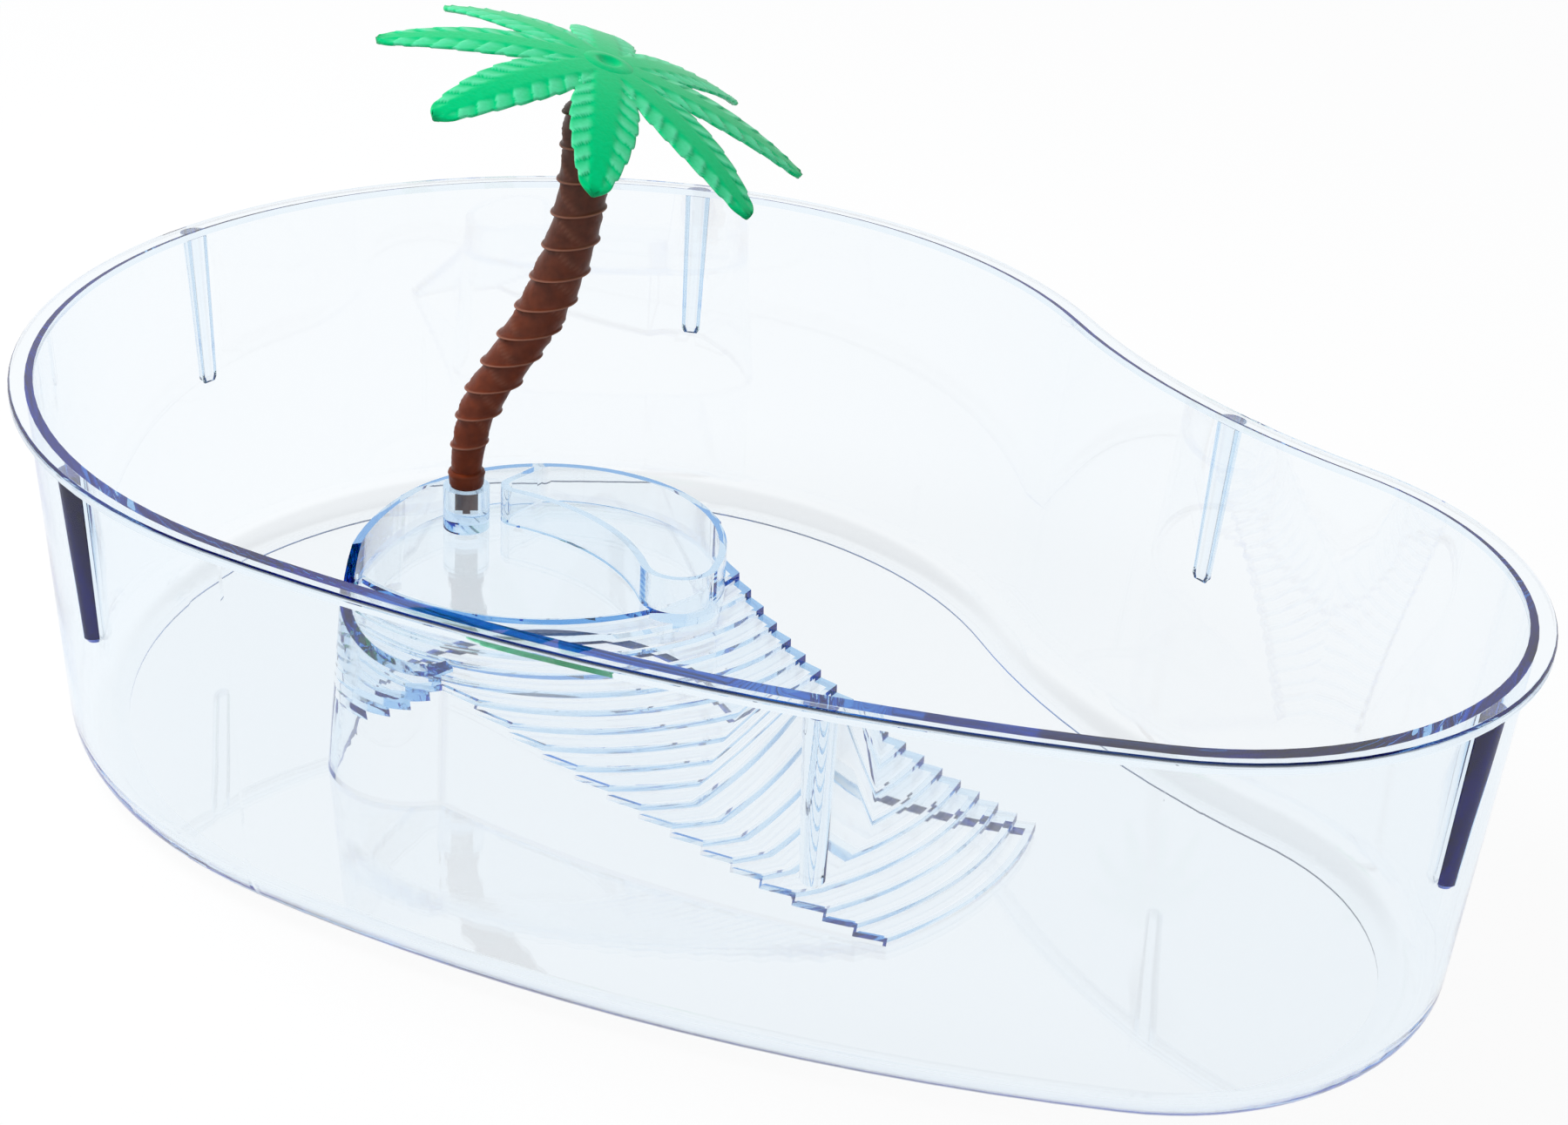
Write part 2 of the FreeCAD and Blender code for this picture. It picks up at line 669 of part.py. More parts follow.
def crown_seat(offset):
    """Placement on the crown's tilted axis, at an offset above the trunk's top face."""
    top = trunk_place(size("first_lip") + (size("segment_count") - 1) * size("segment_pitch")
                      + size("trunk_neck"))
    tilt = FreeCAD.Rotation(UP, size("crown_heading"))
    tilt = tilt.multiply(FreeCAD.Rotation(point(0, 1), size("crown_tilt")))
    middle = top.Base + point(size("seat_shift_x"), size("seat_shift_y"))
    return FreeCAD.Placement(middle + tilt.multVec(UP * offset), tilt)


# Palm crown

def ball(name, radius, centre_drop, hub):
    """Ball below the hub, with its poles out of the way, to shape the arched fronds."""
    item = doc.addObject("Part::Sphere", name)
    bind(item, Radius=radius)
    aside = hub.Rotation.multiply(FreeCAD.Rotation(point(1, 0), 90))
    item.Placement = FreeCAD.Placement(hub.Base - hub.Rotation.multVec(UP * centre_drop), aside)
    return item


def frond_half_width(share):
    """Half width of a frond from its root (0) to its tip (1)."""
    return size("frond_width") / 2 * math.sin(math.pi * (0.16 + 0.7 * share)) ** 0.8


def frond_side():
    """Toothed edge of a frond along +X, from where it parts from its neighbour to its tip."""
    root, tip = size("frond_root"), size("frond_length")
    teeth = int(size("frond_teeth"))
    corners = []
    for number in range(teeth):
        start = root + (tip - root) * number / teeth
        end = root + (tip - root) * (number + 1) / teeth
        corners.append(point(start, frond_half_width(number / teeth) - size("frond_notch")))
        corners.append(point(end, frond_half_width((number + 1) / teeth)))
    slope = math.tan(math.pi / size("frond_count"))
    free = [corner for corner in corners if corner.y < corner.x * slope]
    before = corners[corners.index(free[0]) - 1]
    step = free[0] - before
    share = (before.x * slope - before.y) / (step.y - step.x * slope)
    return [before + step * share] + free


def turned(corner, angle):
    return FreeCAD.Rotation(UP, angle).multVec(corner)


def star_face():
    """Outline of all the fronds as one closed line of straight teeth and round tips."""
    side = frond_side()
    other = [point(corner.x, -corner.y) for corner in reversed(side)]
    nose = point(side[-1].x + side[-1].y * 0.6, 0)
    edges = []
    for angle in frond_angles():
        for first, second in list(zip(other, other[1:])) + list(zip(side, side[1:])):
            edges.append(Part.LineSegment(turned(first, angle), turned(second, angle)).toShape())
        edges.append(Part.Arc(turned(other[0], angle), turned(nose, angle),
                              turned(side[-1], angle)).toShape())
    return Part.Face(Part.Wire(Part.__sortEdges__(edges)))


def midrib_face(angle):
    """Narrow tapered outline of one frond's midrib."""
    end = size("frond_length") * 0.93
    half = size("midrib_width") / 2
    start = size("frond_root") / 2
    corners = [point(start, -half), point(end, -half * 0.4), point(end, half * 0.4),
               point(start, half), point(start, -half)]
    return Part.Face(Part.makePolygon([turned(corner, angle) for corner in corners]))


def frond_angles():
    count = int(size("frond_count"))
    return [size("frond_turn") + number * 360 / count for number in range(count)]


def prism(name, faces, hub):
    """Tall prism of faces round the crown's axis, to cut from the arched shells."""
    tall = 2 * size("frond_length")
    item = doc.addObject("Part::Feature", name)
    solids = [face.extrude(UP * tall) for face in faces]
    item.Shape = Part.makeCompound(solids) if len(solids) > 1 else solids[0]
    item.Placement = FreeCAD.Placement(hub.Base - hub.Rotation.multVec(UP * tall), hub.Rotation)
    return item


def make_crown():
    """Umbrella of toothed fronds with raised midribs round a dished hub."""
    hub = crown_seat(size("crown_boss_height"))
    outside = ball("ArchTop", "Sizes.frond_arch", size("frond_arch"), hub)
    inside = ball("ArchUnder", "Sizes.frond_arch - Sizes.frond_thick", size("frond_arch"), hub)
    leaf = common("Leaf", [cut("LeafShell", outside, inside),
                           prism("Fronds", [star_face()], hub)])
    ridge_top = ball("RidgeTop", "Sizes.frond_arch + Sizes.midrib_height",
                     size("frond_arch"), hub)
    middle = ball("ArchMiddle", "Sizes.frond_arch - Sizes.frond_thick / 2",
                  size("frond_arch"), hub)
    ridges = common("Ridges", [cut("RidgeShell", ridge_top, middle),
                               prism("Midribs", [midrib_face(angle)
                                                 for angle in frond_angles()], hub)])
    boss = frustum("Boss", "Sizes.crown_boss", "Sizes.hub_radius",
                   "Sizes.crown_boss_height + Sizes.midrib_height", crown_seat(0))
    dish = ball("Dish", f"(Sizes.hub_dish ^ 2 + Sizes.hub_dish_depth ^ 2)"
                        " / (2 * Sizes.hub_dish_depth)",
                -amount("(Sizes.hub_dish ^ 2 + Sizes.hub_dish_depth ^ 2)"
                        " / (2 * Sizes.hub_dish_depth) - Sizes.hub_dish_depth"
                        " + Sizes.midrib_height"), hub)
    bore = frustum("PinBore", "Sizes.pin_radius + Sizes.pin_clearance",
                   "Sizes.pin_radius + Sizes.pin_clearance",
                   "Sizes.pin_length + Sizes.pin_clearance", crown_seat(0))
    crown = cut("Crown", fuse("CrownSolid", [leaf, ridges, boss]),
                fuse("CrownHollows", [dish, bore]))
    crown.Label = "palm_crown"
    return crown


# Build, check and write

def check_document():
    """Stop if any object failed to build."""
    for item in doc.Objects:
        if "Invalid" in item.State or "Error" in item.State:
            raise RuntimeError(f"{item.Name} failed: {item.getStatusString()}")


def main():
    nodes = [make_tank(), make_trunk(), make_crown()]
    doc.recompute()
    check_document()
    os.makedirs("parts", exist_ok=True)
    for node in nodes:
        shape = node.Shape
        if shape.isNull() or not shape.isValid() or len(shape.Solids) != 1:
            raise RuntimeError(f"{node.Label} is not one valid solid")
        shape.exportStep(f"parts/{node.Label}.step")
        print(f"{node.Label}: {shape.Volume:.0f} mm3, {len(shape.Faces)} faces")


main()
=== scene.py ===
import math

import bmesh
import bpy
from mathutils import Matrix, Vector


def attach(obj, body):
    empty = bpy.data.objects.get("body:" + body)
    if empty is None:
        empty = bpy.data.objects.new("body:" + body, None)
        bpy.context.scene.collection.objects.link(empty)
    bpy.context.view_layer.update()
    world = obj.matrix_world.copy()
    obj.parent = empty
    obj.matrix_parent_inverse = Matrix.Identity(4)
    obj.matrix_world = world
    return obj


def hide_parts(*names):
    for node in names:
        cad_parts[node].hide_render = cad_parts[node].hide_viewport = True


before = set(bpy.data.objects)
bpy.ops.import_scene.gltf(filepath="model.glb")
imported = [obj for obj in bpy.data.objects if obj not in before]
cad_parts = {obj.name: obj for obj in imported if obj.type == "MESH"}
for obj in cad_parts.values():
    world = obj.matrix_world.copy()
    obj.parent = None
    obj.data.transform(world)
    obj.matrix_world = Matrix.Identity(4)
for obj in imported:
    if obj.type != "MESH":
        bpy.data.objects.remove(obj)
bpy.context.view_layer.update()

# Lengths are in metres and angles in radians, unless a name says otherwise.


# Node helpers

def new_material(name):
    """Empty node material, with its nodes, its links and its Principled shader."""
    material = bpy.data.materials.new(name)
    material.use_nodes = True
    nodes = material.node_tree.nodes
    return material, nodes, material.node_tree.links, nodes["Principled BSDF"]


def set_inputs(node, **inputs):
    """Set a node's inputs by name, with an underscore for each space."""
    for name, value in inputs.items():
        node.inputs[name.replace("_", " ")].default_value = value


def add(nodes, kind, **inputs):
    """Add a node and set its inputs by name."""
    node = nodes.new(kind)
    set_inputs(node, **inputs)
    return node


def axis_z(nodes, links, source):
    """Z value of a texture coordinate."""
    place = nodes.new("ShaderNodeTexCoord")
    split = nodes.new("ShaderNodeSeparateXYZ")
    links.new(place.outputs[source], split.inputs[0])
    return split.outputs["Z"]


def attribute(nodes, name):
    """Value that the mesh stores at its points under a name."""
    node = nodes.new("ShaderNodeAttribute")
    node.attribute_name = name
    return node.outputs["Fac"]


def noise(nodes, links, scale, detail):
    """Noise over the piece's own coordinates, in features per metre."""
    place = nodes.new("ShaderNodeTexCoord")
    node = add(nodes, "ShaderNodeTexNoise", Scale=scale, Detail=detail)
    links.new(place.outputs["Object"], node.inputs["Vector"])
    return node.outputs["Fac"]


def ramp(nodes, links, source, *stops):
    """Colour that follows a value, from (position, colour) stops."""
    node = nodes.new("ShaderNodeValToRGB")
    elements = node.color_ramp.elements
    while len(elements) < len(stops):
        elements.new(0.5)
    for element, (position, colour) in zip(elements, stops):
        element.position = position
        element.color = (*colour, 1.0)
    links.new(source, node.inputs["Fac"])
    return node.outputs["Color"]


def colour_mix(nodes, blend_type):
    """Mix node for two colours."""
    node = nodes.new("ShaderNodeMix")
    node.data_type = "RGBA"
    node.blend_type = blend_type
    return node


def multiply(nodes, links, colour, tones, factor):
    """Colour that is toned by another as far as the factor says."""
    node = colour_mix(nodes, "MULTIPLY")
    set_inputs(node, Factor=factor)
    links.new(colour, node.inputs["A"])
    links.new(tones, node.inputs["B"])
    return node.outputs["Result"]


def larger(nodes, links, first, second):
    """Larger of two values."""
    node = nodes.new("ShaderNodeMath")
    node.operation = "MAXIMUM"
    links.new(first, node.inputs[0])
    links.new(second, node.inputs[1])
    return node.outputs[0]


def bump(nodes, links, shader, height, strength, distance):
    """Give a shader a bumpy surface from a height value."""
    node = add(nodes, "ShaderNodeBump", Strength=strength, Distance=distance)
    links.new(height, node.inputs["Height"])
    links.new(node.outputs[0], shader.inputs["Normal"])


# Materials

POLYSTYRENE_INDEX = 1.59
BLUE_TINT = (0.1, 0.55, 0.885, 1)
TINT_DENSITY = 28.0
GLOSSY, SATIN = (0.0, 0.0, 0.0), (0.03, 0.03, 0.03)

BARK_LOW, BARK_HIGH = (0.15, 0.026, 0.007), (0.07, 0.023, 0.014)
BARK_MIDDLE = (0.115, 0.024, 0.009)
# Pale colour of the painted highlight on the lips and fold ridges, as where their edges catch
# the light
BARK_HIGHLIGHT = (0.24, 0.095, 0.062, 1)
BARK_DARK, BARK_PALE = (0.62, 0.58, 0.56), (1.2, 1.18, 1.15)
BARK_FROM, BARK_TO = 0.06, 0.16

# The dark tip colour and the shaded green are painted shade at the ends of the fronds
LEAF_TIP, LEAF_SHADED = (0.0, 0.2, 0.07), (0.0, 0.5, 0.17)
LEAF_BODY, LEAF_PALE = (0.0, 0.52, 0.18), (0.12, 0.7, 0.38)
GRAIN_DARK, GRAIN_PALE = (0.86, 0.93, 0.88), (1.1, 1.04, 1.08)


def clear_plastic():
    """Clear polystyrene with a blue tint that deepens where light runs along the wall."""
    material, nodes, links, shader = new_material("clear_plastic")
    set_inputs(shader, Base_Color=(1, 1, 1, 1), Transmission_Weight=1.0, IOR=POLYSTYRENE_INDEX)
    absorb = add(nodes, "ShaderNodeVolumeAbsorption", Density=TINT_DENSITY, Color=BLUE_TINT)
    links.new(absorb.outputs[0], nodes["Material Output"].inputs["Volume"])
    waves = noise(nodes, links, scale=14.0, detail=2.0)
    links.new(ramp(nodes, links, waves, (0.35, GLOSSY), (0.75, SATIN)),
              shader.inputs["Roughness"])
    bump(nodes, links, shader, waves, strength=0.08, distance=0.0008)
    return material


def brown_plastic():
    """Reddish brown bark, greyer and darker towards the top, with a painted highlight on its
    lips and fold ridges.
    """
    material, nodes, links, shader = new_material("palm_bark")
    climb = add(nodes, "ShaderNodeMapRange", From_Min=BARK_FROM, From_Max=BARK_TO)
    links.new(axis_z(nodes, links, "Object"), climb.inputs["Value"])
    body = ramp(nodes, links, climb.outputs["Result"],
                (0.0, BARK_LOW), (0.5, BARK_MIDDLE), (1.0, BARK_HIGH))
    mottle = noise(nodes, links, scale=420.0, detail=5.0)
    tones = ramp(nodes, links, mottle, (0.3, BARK_DARK), (0.7, BARK_PALE))
    # Painted highlight: the lips and the fold ridges are made paler, as where their edges catch
    # the light
    painted_highlight = colour_mix(nodes, "MIX")
    set_inputs(painted_highlight, B=BARK_HIGHLIGHT)
    links.new(attribute(nodes, "lip"), painted_highlight.inputs["Factor"])
    links.new(multiply(nodes, links, body, tones, factor=0.7), painted_highlight.inputs["A"])
    links.new(painted_highlight.outputs["Result"], shader.inputs["Base Color"])
    set_inputs(shader, Roughness=0.42, Specular_IOR_Level=0.22)
    bump(nodes, links, shader, mottle, strength=0.35, distance=0.0006)
    return material


def green_plastic():
    """Bright green leaf with paler side panels, painted shade at the tip and a fine grain."""
    material, nodes, links, shader = new_material("palm_leaf")
    body = ramp(nodes, links, attribute(nodes, "panel"), (0.0, LEAF_TIP), (0.3, LEAF_SHADED),
                (0.5, LEAF_BODY), (1.0, LEAF_PALE))
    tint = noise(nodes, links, scale=900.0, detail=4.0)
    grain = ramp(nodes, links, tint, (0.35, GRAIN_DARK), (0.65, GRAIN_PALE))
    links.new(multiply(nodes, links, body, grain, factor=0.6), shader.inputs["Base Color"])
    set_inputs(shader, Roughness=0.34, Specular_IOR_Level=0.07)
    bump(nodes, links, shader, tint, strength=0.15, distance=0.0005)
    return material


# Mesh helpers

# Points round each ring of the trunk, and the turn of each
AROUND = 72
TURNS = [math.tau * spoke / AROUND for spoke in range(AROUND)]
# Points round the crown's hub
HUB_AROUND = 64


def clamp(value):
    """Value held between 0 and 1."""
    return min(1.0, max(0.0, value))


def make_object(name, mesh, material):
    """Object in the scene from a finished mesh, which is freed."""
    mesh.normal_update()
    data = bpy.data.meshes.new(name)
    mesh.to_mesh(data)
    mesh.free()
    data.materials.append(material)
    item = bpy.data.objects.new(name, data)
    bpy.context.scene.collection.objects.link(item)
    return item


def add_tube(mesh, rings, painted_highlight=()):
    """Join rings of points into a closed tube with capped ends, marked for a painted highlight
    where told.
    """
    rows = [[mesh.verts.new(corner) for corner in ring] for ring in rings]
    layer = mesh.verts.layers.float["lip"]
    for row, marks in zip(rows, painted_highlight):
        for corner, mark in zip(row, marks):
            corner[layer] = mark
    for low, high in zip(rows, rows[1:]):
        for spoke in range(AROUND):
            after = (spoke + 1) % AROUND
            mesh.faces.new((low[spoke], low[after], high[after], high[spoke]))
    mesh.faces.new(list(reversed(rows[0])))
    mesh.faces.new(rows[-1])


def ring_points(place, radii, height=0.0):
    """Points of a ring on a placement, from its radius at each turn."""
    return [place @ Vector((radius * math.cos(turn), radius * math.sin(turn), height))
            for radius, turn in zip(radii, TURNS)]


def add_stack(mesh, place, profile):
    """Turned piece from (radius, height) pairs on a placement."""
    add_tube(mesh, [ring_points(place, [radius] * AROUND, height)
                    for radius, height in profile])


def add_turned(mesh, profile, tone):
    """Turned shape from (radius, height) pairs that start and end on the axis."""
    layer = mesh.verts.layers.float["panel"]
    rings = []
    for radius, height in profile:
        if radius == 0.0:
            rings.append([mesh.verts.new((0, 0, height))])
            continue
        rings.append([mesh.verts.new((radius * math.cos(math.tau * spoke / HUB_AROUND),
                                      radius * math.sin(math.tau * spoke / HUB_AROUND), height))
                      for spoke in range(HUB_AROUND)])
    for ring in rings:
        for corner in ring:
            corner[layer] = tone
    for outer, inner in zip(rings, rings[1:]):
        for spoke in range(HUB_AROUND):
            after = (spoke + 1) % HUB_AROUND
            corners = [outer[spoke % len(outer)], inner[spoke % len(inner)],
                       inner[after % len(inner)], outer[after % len(outer)]]
            mesh.faces.new(list(dict.fromkeys(corners)))


# Palm trunk

SOCKET_TOP = Vector((-0.0842, -0.0156, 0.0579))
LEAN_HEADING = math.radians(44.05)
LEAN = math.radians(30.6)
# Axis: straight runs by length, and bends of the angle LEAN by radius
PATH = (("run", 0.004), ("left", 0.048), ("run", 0.018), ("right", 0.094), ("run", 1.0))
FIRST_LIP, PITCH, SEGMENTS = 0.012, 0.0088, 12
OVERLAP = 0.001
LAST_HEIGHT = 0.0026
RING_RISE = math.radians(7.0)

FULLEST, FULLEST_RADIUS, SLIMMING = 6.5, 0.0069, 0.000052
LIP_PROUD, LIP_STEP, LIP_LIFT = 0.0001, 0.0013, 0.0005
# Band of each lip, by share of a segment's height, that gets the painted highlight
HIGHLIGHT_FROM, HIGHLIGHT_TO = 0.03, 0.07
# The lip, up to this share of a segment's height, has no folds
LIP_END, FOLDS_RISE = 0.085, 5.0
FOLD_HEIGHT, FOLD_LEVEL, FOLD_SHARPNESS = 0.0006, 0.3, 4
# Strength and sharpness of the painted highlight along the fold ridges
FOLD_HIGHLIGHT, FOLD_HIGHLIGHT_SHARPNESS = 0.55, 14
# How far the folds move round for each turn, each share of height and each segment
FOLDS_AROUND, FOLDS_CLIMB, FOLDS_SHIFT = 1.5, 0.85, 0.21
# Share of a segment's height, and how far the bark lies inside its plain cone there
SEGMENT_PROFILE = ((0.0, 0.0006), (0.012, 0.0001), (0.035, -0.0001), (0.06, -0.0001),
                   (0.085, 0.0001), (0.11, 0.0003), (0.17, 0.0003), (0.26, 0.0002),
                   (0.36, 0.0001), (0.46, 0.0), (0.56, 0.0), (0.66, 0.0), (0.76, 0.0),
                   (0.88, 0.0), (1.0, 0.0))

COLLAR = ((0.0036, 0.0), (0.0042, 0.0001), (0.0045, 0.0008), (0.0046, 0.002),
          (0.0047, 0.0032), (0.0049, 0.0038), (0.0047, 0.0044), (0.004, 0.0047))
FOOT_STEPS, FOOT_START, FOOT_PITCH, FOOT_HEIGHT = 7, 0.002, 0.0015, 0.0016
FOOT_LOW, FOOT_HIGH, FOOT_GROWTH = 0.0038, 0.0039, 0.00008
# Cap under the crown and pin in its bore, from the crown's hub
CAP_AND_PIN = ((0.0040, -0.0112), (0.0047, -0.0108), (0.0048, -0.0098), (0.0047, -0.0084),
               (0.0044, -0.0081), (0.0026, -0.0081), (0.0026, -0.0022), (0.0022, -0.002))
PLUG_DROP = 0.0032
PLUG_SIZE = (0.0058, 0.0016, 0.0065, 1)
SHARP_EDGE = math.radians(50)

CROWN_HUB = Vector((-0.0591755, 0.0075406, 0.1724814))
CROWN_HEADING = math.radians(31.07)
CROWN_TILT = math.radians(17.2)
CROWN_PLACE = (Matrix.Translation(CROWN_HUB) @ Matrix.Rotation(CROWN_HEADING, 4, "Z")
               @ Matrix.Rotation(CROWN_TILT, 4, "Y"))


def trunk_frame(distance):
    """Matrix of the trunk's axis at a distance along it from the socket's rim."""
    out, rise, angle = 0.0, 0.0, 0.0
    for kind, measure in PATH:
        length = measure if kind == "run" else measure * LEAN
        step = min(length, distance)
        if kind == "run":
            out += step * math.sin(angle)
            rise += step * math.cos(angle)
        else:
            sign = 1 if kind == "left" else -1
            after = angle + sign * step / measure
            out += sign * measure * (math.cos(angle) - math.cos(after))
            rise += sign * measure * (math.sin(after) - math.sin(angle))
            angle = after
        distance -= step
        if distance <= 0:
            break
    side = Vector((math.cos(LEAN_HEADING), math.sin(LEAN_HEADING), 0))
    return (Matrix.Translation(SOCKET_TOP + side * out + Vector((0, 0, rise)))
            @ Matrix.Rotation(LEAN_HEADING, 4, "Z") @ Matrix.Rotation(angle, 4, "Y"))


def level_ring(distance):
    """Nearly level cross-section of the leaning trunk, which rises towards its lean."""
    frame_matrix = trunk_frame(distance)
    axis = frame_matrix.to_3x3() @ Vector((0, 0, 1))
    stretch = 1.0 / math.cos(math.acos(min(1.0, axis.z)) + RING_RISE)
    return (Matrix.Translation(frame_matrix.to_translation())
            @ Matrix.Rotation(LEAN_HEADING, 4, "Z") @ Matrix.Rotation(-RING_RISE, 4, "Y")
            @ Matrix.Diagonal((stretch, 1, 1, 1)))


def lip_radius(number):
    """Radius of a segment's flared lip: the trunk is fullest just above its middle."""
    return FULLEST_RADIUS - SLIMMING * (number - FULLEST) ** 2


def fold(turn, share, number):
    """Nearness, 0 to 1, to the diagonal folds of a segment, as on a palm's leaf bases."""
    slope = turn * FOLDS_AROUND / math.pi + share * FOLDS_CLIMB + number * FOLDS_SHIFT
    return abs((slope % 1.0) - 0.5) * 2.0


def crease(turn, share, number):
    """Height of the bark over a segment's plain cone."""
    return FOLD_HEIGHT * (fold(turn, share, number) ** FOLD_SHARPNESS - FOLD_LEVEL)


def add_segment(mesh, number):
    """One flared segment of bark with a rounded lip and diagonal folds above it, marked for a
    painted highlight on the lip and the fold ridges.
    """
    height = LAST_HEIGHT if number == SEGMENTS - 1 else PITCH + OVERLAP
    low, high = lip_radius(number) + LIP_PROUD, lip_radius(number + 1) - LIP_STEP
    start = FIRST_LIP + number * PITCH
    rings = [ring_points(level_ring(start + LIP_LIFT), [low - LIP_STEP] * AROUND)]
    painted_highlight = [[0.0] * AROUND]
    for share, inset in SEGMENT_PROFILE:
        base = low + (high - low) * share - inset
        fade = clamp((share - LIP_END) * FOLDS_RISE)
        rings.append(ring_points(
            level_ring(start + height * share),
            [base + fade * crease(turn, share, number) for turn in TURNS]))
        # Painted highlight on a band of the lip and along the fold ridges above it
        lip = 1.0 if HIGHLIGHT_FROM < share < HIGHLIGHT_TO else 0.0
        ridge_highlight = FOLD_HIGHLIGHT * fade
        painted_highlight.append([max(lip, ridge_highlight * fold(turn, share, number) ** FOLD_HIGHLIGHT_SHARPNESS)
                     for turn in TURNS])
    add_tube(mesh, rings, painted_highlight)


def make_trunk(material):
    """Bark segments, foot, collar and cross-ribbed plug, in place of the plain moulding."""
    mesh = bmesh.new()
    mesh.verts.layers.float.new("lip")
    base = trunk_frame(0.0)
    add_stack(mesh, base, COLLAR)
    for step in range(FOOT_STEPS):
        add_stack(mesh, trunk_frame(FOOT_START + FOOT_PITCH * step),
                  ((FOOT_LOW + FOOT_GROWTH * step, 0.0),
                   (FOOT_HIGH + FOOT_GROWTH * step, FOOT_HEIGHT)))
    for number in range(SEGMENTS):
        add_segment(mesh, number)
    add_stack(mesh, CROWN_PLACE, CAP_AND_PIN)
    for turn in (0.0, math.pi / 2):
        rib = bmesh.ops.create_cube(mesh, size=1.0)["verts"]
        bmesh.ops.transform(mesh, verts=rib, matrix=(
            base @ Matrix.Rotation(turn, 4, "Z")
            @ Matrix.Translation((0, 0, -PLUG_DROP)) @ Matrix.Diagonal(PLUG_SIZE)))
    bark = make_object("palm_bark_rings", mesh, material)
    for face in bark.data.polygons:
        face.use_smooth = len(face.vertices) == 4
    bark.data.set_sharp_from_angle(angle=SHARP_EDGE)
    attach(bark, "root")
    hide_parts("palm_trunk")


# Palm crown

FRONDS = 8
FIRST_FROND = math.radians(11.66)
ARCH = 0.133
ROOT, TIP = 0.007, 0.0553
# The leaves begin well inside the hub
START = ROOT * 0.45
FROND_HALF = 0.0087
THICK, EDGE_THINNING = 0.0013, 0.55
UNDER_RELIEF = 0.35
EDGE_POWER = 6
ROWS, LANES = 96, 28

# A frond's half width follows this part of a sine's half wave
WAVE_START, WAVE_SPAN, WAVE_POWER = 0.14, 0.76, 0.85
TEETH, TOOTH_DEPTH, TOOTH_POWER, TEETH_RISE = 9, 0.0006, 1.5, 6.0
EDGE_LAG = 0.15
BLUNT_FROM, BLUNT_SPAN, BLUNT = 0.94, 0.06, 0.96

BAND, BAND_WIDER, BAND_WIDER_TO, BAND_BLEND = 0.3, 0.5, 0.45, 0.2
PANELS_RISE = 4.0
VEINS, VEIN_SLANT = 9, 0.9
VEIN_HEIGHT, VEIN_POWER = 0.00055, 1.6
MIDRIB_HEIGHT, MIDRIB_FALL = 0.0006, 0.5

BODY_TONE, PANEL_TONE, PANEL_TONE_POWER = 0.42, 0.5, 0.7
# Painted shade that darkens each frond towards its tip
TIP_FROM, TIP_SPAN, TIP_DARKENING = 0.93, 0.07, 0.8

# Dished hub, and the boss below it with its bore for the pin
HUB_PROFILE = ((0.0, -0.0001), (0.0015, 0.0), (0.0025, 0.0004), (0.0031, 0.0008),
               (0.0036, 0.0009), (0.0048, 0.0008), (0.0062, 0.0005), (0.0074, 0.0),
               (0.0079, -0.0007), (0.008, -0.0016), (0.0064, -0.0048),
               (0.0056, -0.0078), (0.0054, -0.008), (0.0027, -0.008),
               (0.0027, -0.0019), (0.0, -0.0019))


def frond_half(share):
    """Half width of a frond from its root (0) to its tip (1), with its teeth."""
    smooth = FROND_HALF * math.sin(math.pi * (WAVE_START + WAVE_SPAN * share)) ** WAVE_POWER
    tooth = (share * TEETH) % 1.0
    notch = TOOTH_DEPTH * (1.0 - tooth) ** TOOTH_POWER * min(1.0, share * TEETH_RISE)
    blunt = math.sqrt(1.0 - BLUNT * max(0.0, (share - BLUNT_FROM) / BLUNT_SPAN) ** 2)
    return (smooth - notch) * blunt


def side_panel(share, across):
    """Share of the grooved side panel at a point, none on the smooth midrib band."""
    band = BAND + BAND_WIDER * max(0.0, BAND_WIDER_TO - share)
    return clamp((abs(across) - band) / BAND_BLEND) * min(1.0, share * PANELS_RISE)


def vein_phase(along, share, across):
    """Place between one slanting groove (0) and the next (1)."""
    slant = along - abs(across) * frond_half(share) * VEIN_SLANT
    return (slant * VEINS / (TIP - ROOT)) % 1.0


def frond_relief(along, share, across):
    """Height above the plain face: smooth raised midrib band and stepped side panels."""
    panel = side_panel(share, across)
    groove = vein_phase(along, share, across)
    midrib = MIDRIB_HEIGHT * (1.0 - panel) * (1 - MIDRIB_FALL * share)
    steps = VEIN_HEIGHT * groove ** VEIN_POWER * panel
    return midrib + steps * (1 - abs(across) ** EDGE_POWER)


def frond_shade(along, share, across):
    """Tone of the leaf: 0 at the tip, which is darkened as painted shade, up to 1 on the palest
    of the side panels.
    """
    pale = side_panel(share, across) * vein_phase(along, share, across) ** PANEL_TONE_POWER
    tip = max(0.0, (share - TIP_FROM) / TIP_SPAN)
    return (BODY_TONE + PANEL_TONE * pale) * (1.0 - TIP_DARKENING * tip)


def frond_point(turn, along, side, lift):
    """Point of the arched face, from the distance along and across a frond."""
    reach = math.hypot(along, side)
    swing = turn + math.atan2(side, along)
    level = math.sqrt(max(ARCH ** 2 - reach ** 2, 0.0))
    outward = Vector((math.cos(swing) * reach, math.sin(swing) * reach, level)) / ARCH
    return outward * (ARCH + lift) - Vector((0, 0, ARCH))


def frond_face(mesh, turn, is_top):
    """Rows of points of a frond's top or underside."""
    tone = mesh.verts.layers.float["panel"]
    grid = []
    for row in range(ROWS + 1):
        share = row / ROWS
        along = START + (TIP - START) * share
        width = frond_half(share)
        line = []
        for lane in range(LANES + 1):
            across = 2.0 * lane / LANES - 1.0
            relief = frond_relief(along, share, across)
            edge = 1.0 - EDGE_THINNING * abs(across) ** EDGE_POWER
            lift = relief if is_top else -THICK * edge + UNDER_RELIEF * relief
            bend = along - abs(across) * width * EDGE_LAG
            corner = mesh.verts.new(frond_point(turn, bend, across * width, lift))
            corner[tone] = frond_shade(along, share, across)
            line.append(corner)
        grid.append(line)
    return grid


